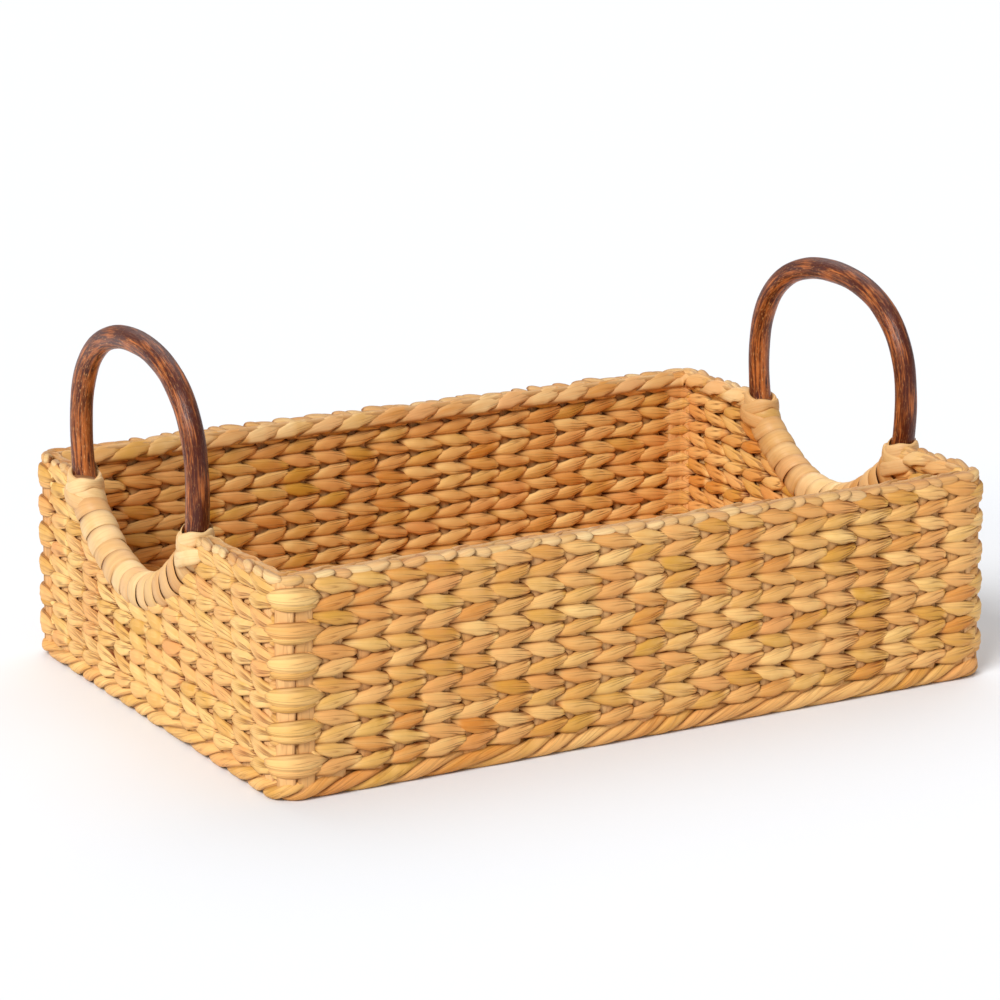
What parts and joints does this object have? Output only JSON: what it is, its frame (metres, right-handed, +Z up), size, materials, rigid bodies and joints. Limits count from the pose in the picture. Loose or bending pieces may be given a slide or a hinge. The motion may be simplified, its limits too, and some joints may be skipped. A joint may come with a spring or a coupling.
{
  "type": "tray basket",
  "caption": "Rectangular twined tray basket whose short walls dip under upright bent cane hoop handles, for carrying and storing things.",
  "frame": {"origin": "under the middle of the basket, on the surface it stands on", "axes": "+X along the length, towards the right-hand hoop, +Y from the front wall to the back wall, +Z up"},
  "size_m": [0.4438, 0.3078, 0.2075],
  "materials": {
    "weave": "dry plant stalk, matt with a faint sheen",
    "rim": "pale dry plant stalk, matt",
    "ribbon": "flat dry stalk ribbon, smooth and slightly glossy",
    "stake": "dry plant stalk, matt",
    "cane": "stained and varnished cane, semi-gloss",
    "wire": "plain drawn wire"
  },
  "bodies": {
    "root": {"base_weave_under": "weave", "base_weave_over": "weave", "stake_pair_01": "stake", "stake_pair_02": "stake", "stake_pair_03": "stake", "stake_pair_04": "stake", "stake_pair_05": "stake", "stake_pair_06": "stake", "stake_pair_07": "stake", "stake_pair_08": "stake", "stake_pair_09": "stake", "stake_pair_10": "stake", "stake_long_01": "stake", "stake_long_02": "stake", "stake_long_03": "stake", "stake_long_04": "stake", "stake_long_05": "stake", "stake_long_06": "stake", "stake_long_07": "stake", "stake_long_08": "stake", "stake_long_09": "stake", "stake_long_10": "stake", "stake_long_11": "stake", "stake_long_12": "stake", "stake_long_13": "stake", "corner_stake_back_right": "stake", "corner_stake_back_left": "stake", "corner_stake_front_left": "stake", "corner_stake_front_right": "stake", "wire_frame": "wire", "border_rope": "weave", "course_01": "weave", "course_02": "weave", "course_03": "weave", "course_04": "weave", "course_05": "weave", "course_06": "weave", "course_07_front": "weave", "course_07_back": "weave", "course_08_front": "weave", "course_08_back": "weave", "course_09_front": "weave", "course_09_back": "weave", "course_10_front": "weave", "course_10_back": "weave", "course_11_front": "weave", "course_11_back": "weave", "course_12_front": "weave", "course_12_back": "weave", "rim_chain_front": "rim", "rim_chain_back": "rim", "hoop_left": "cane", "winding_left": "ribbon", "lashing_left_front": "rim", "lashing_left_back": "rim", "hoop_right": "cane", "winding_right": "ribbon", "lashing_right_front": "rim", "lashing_right_back": "rim"}
  },
  "joints": []
}
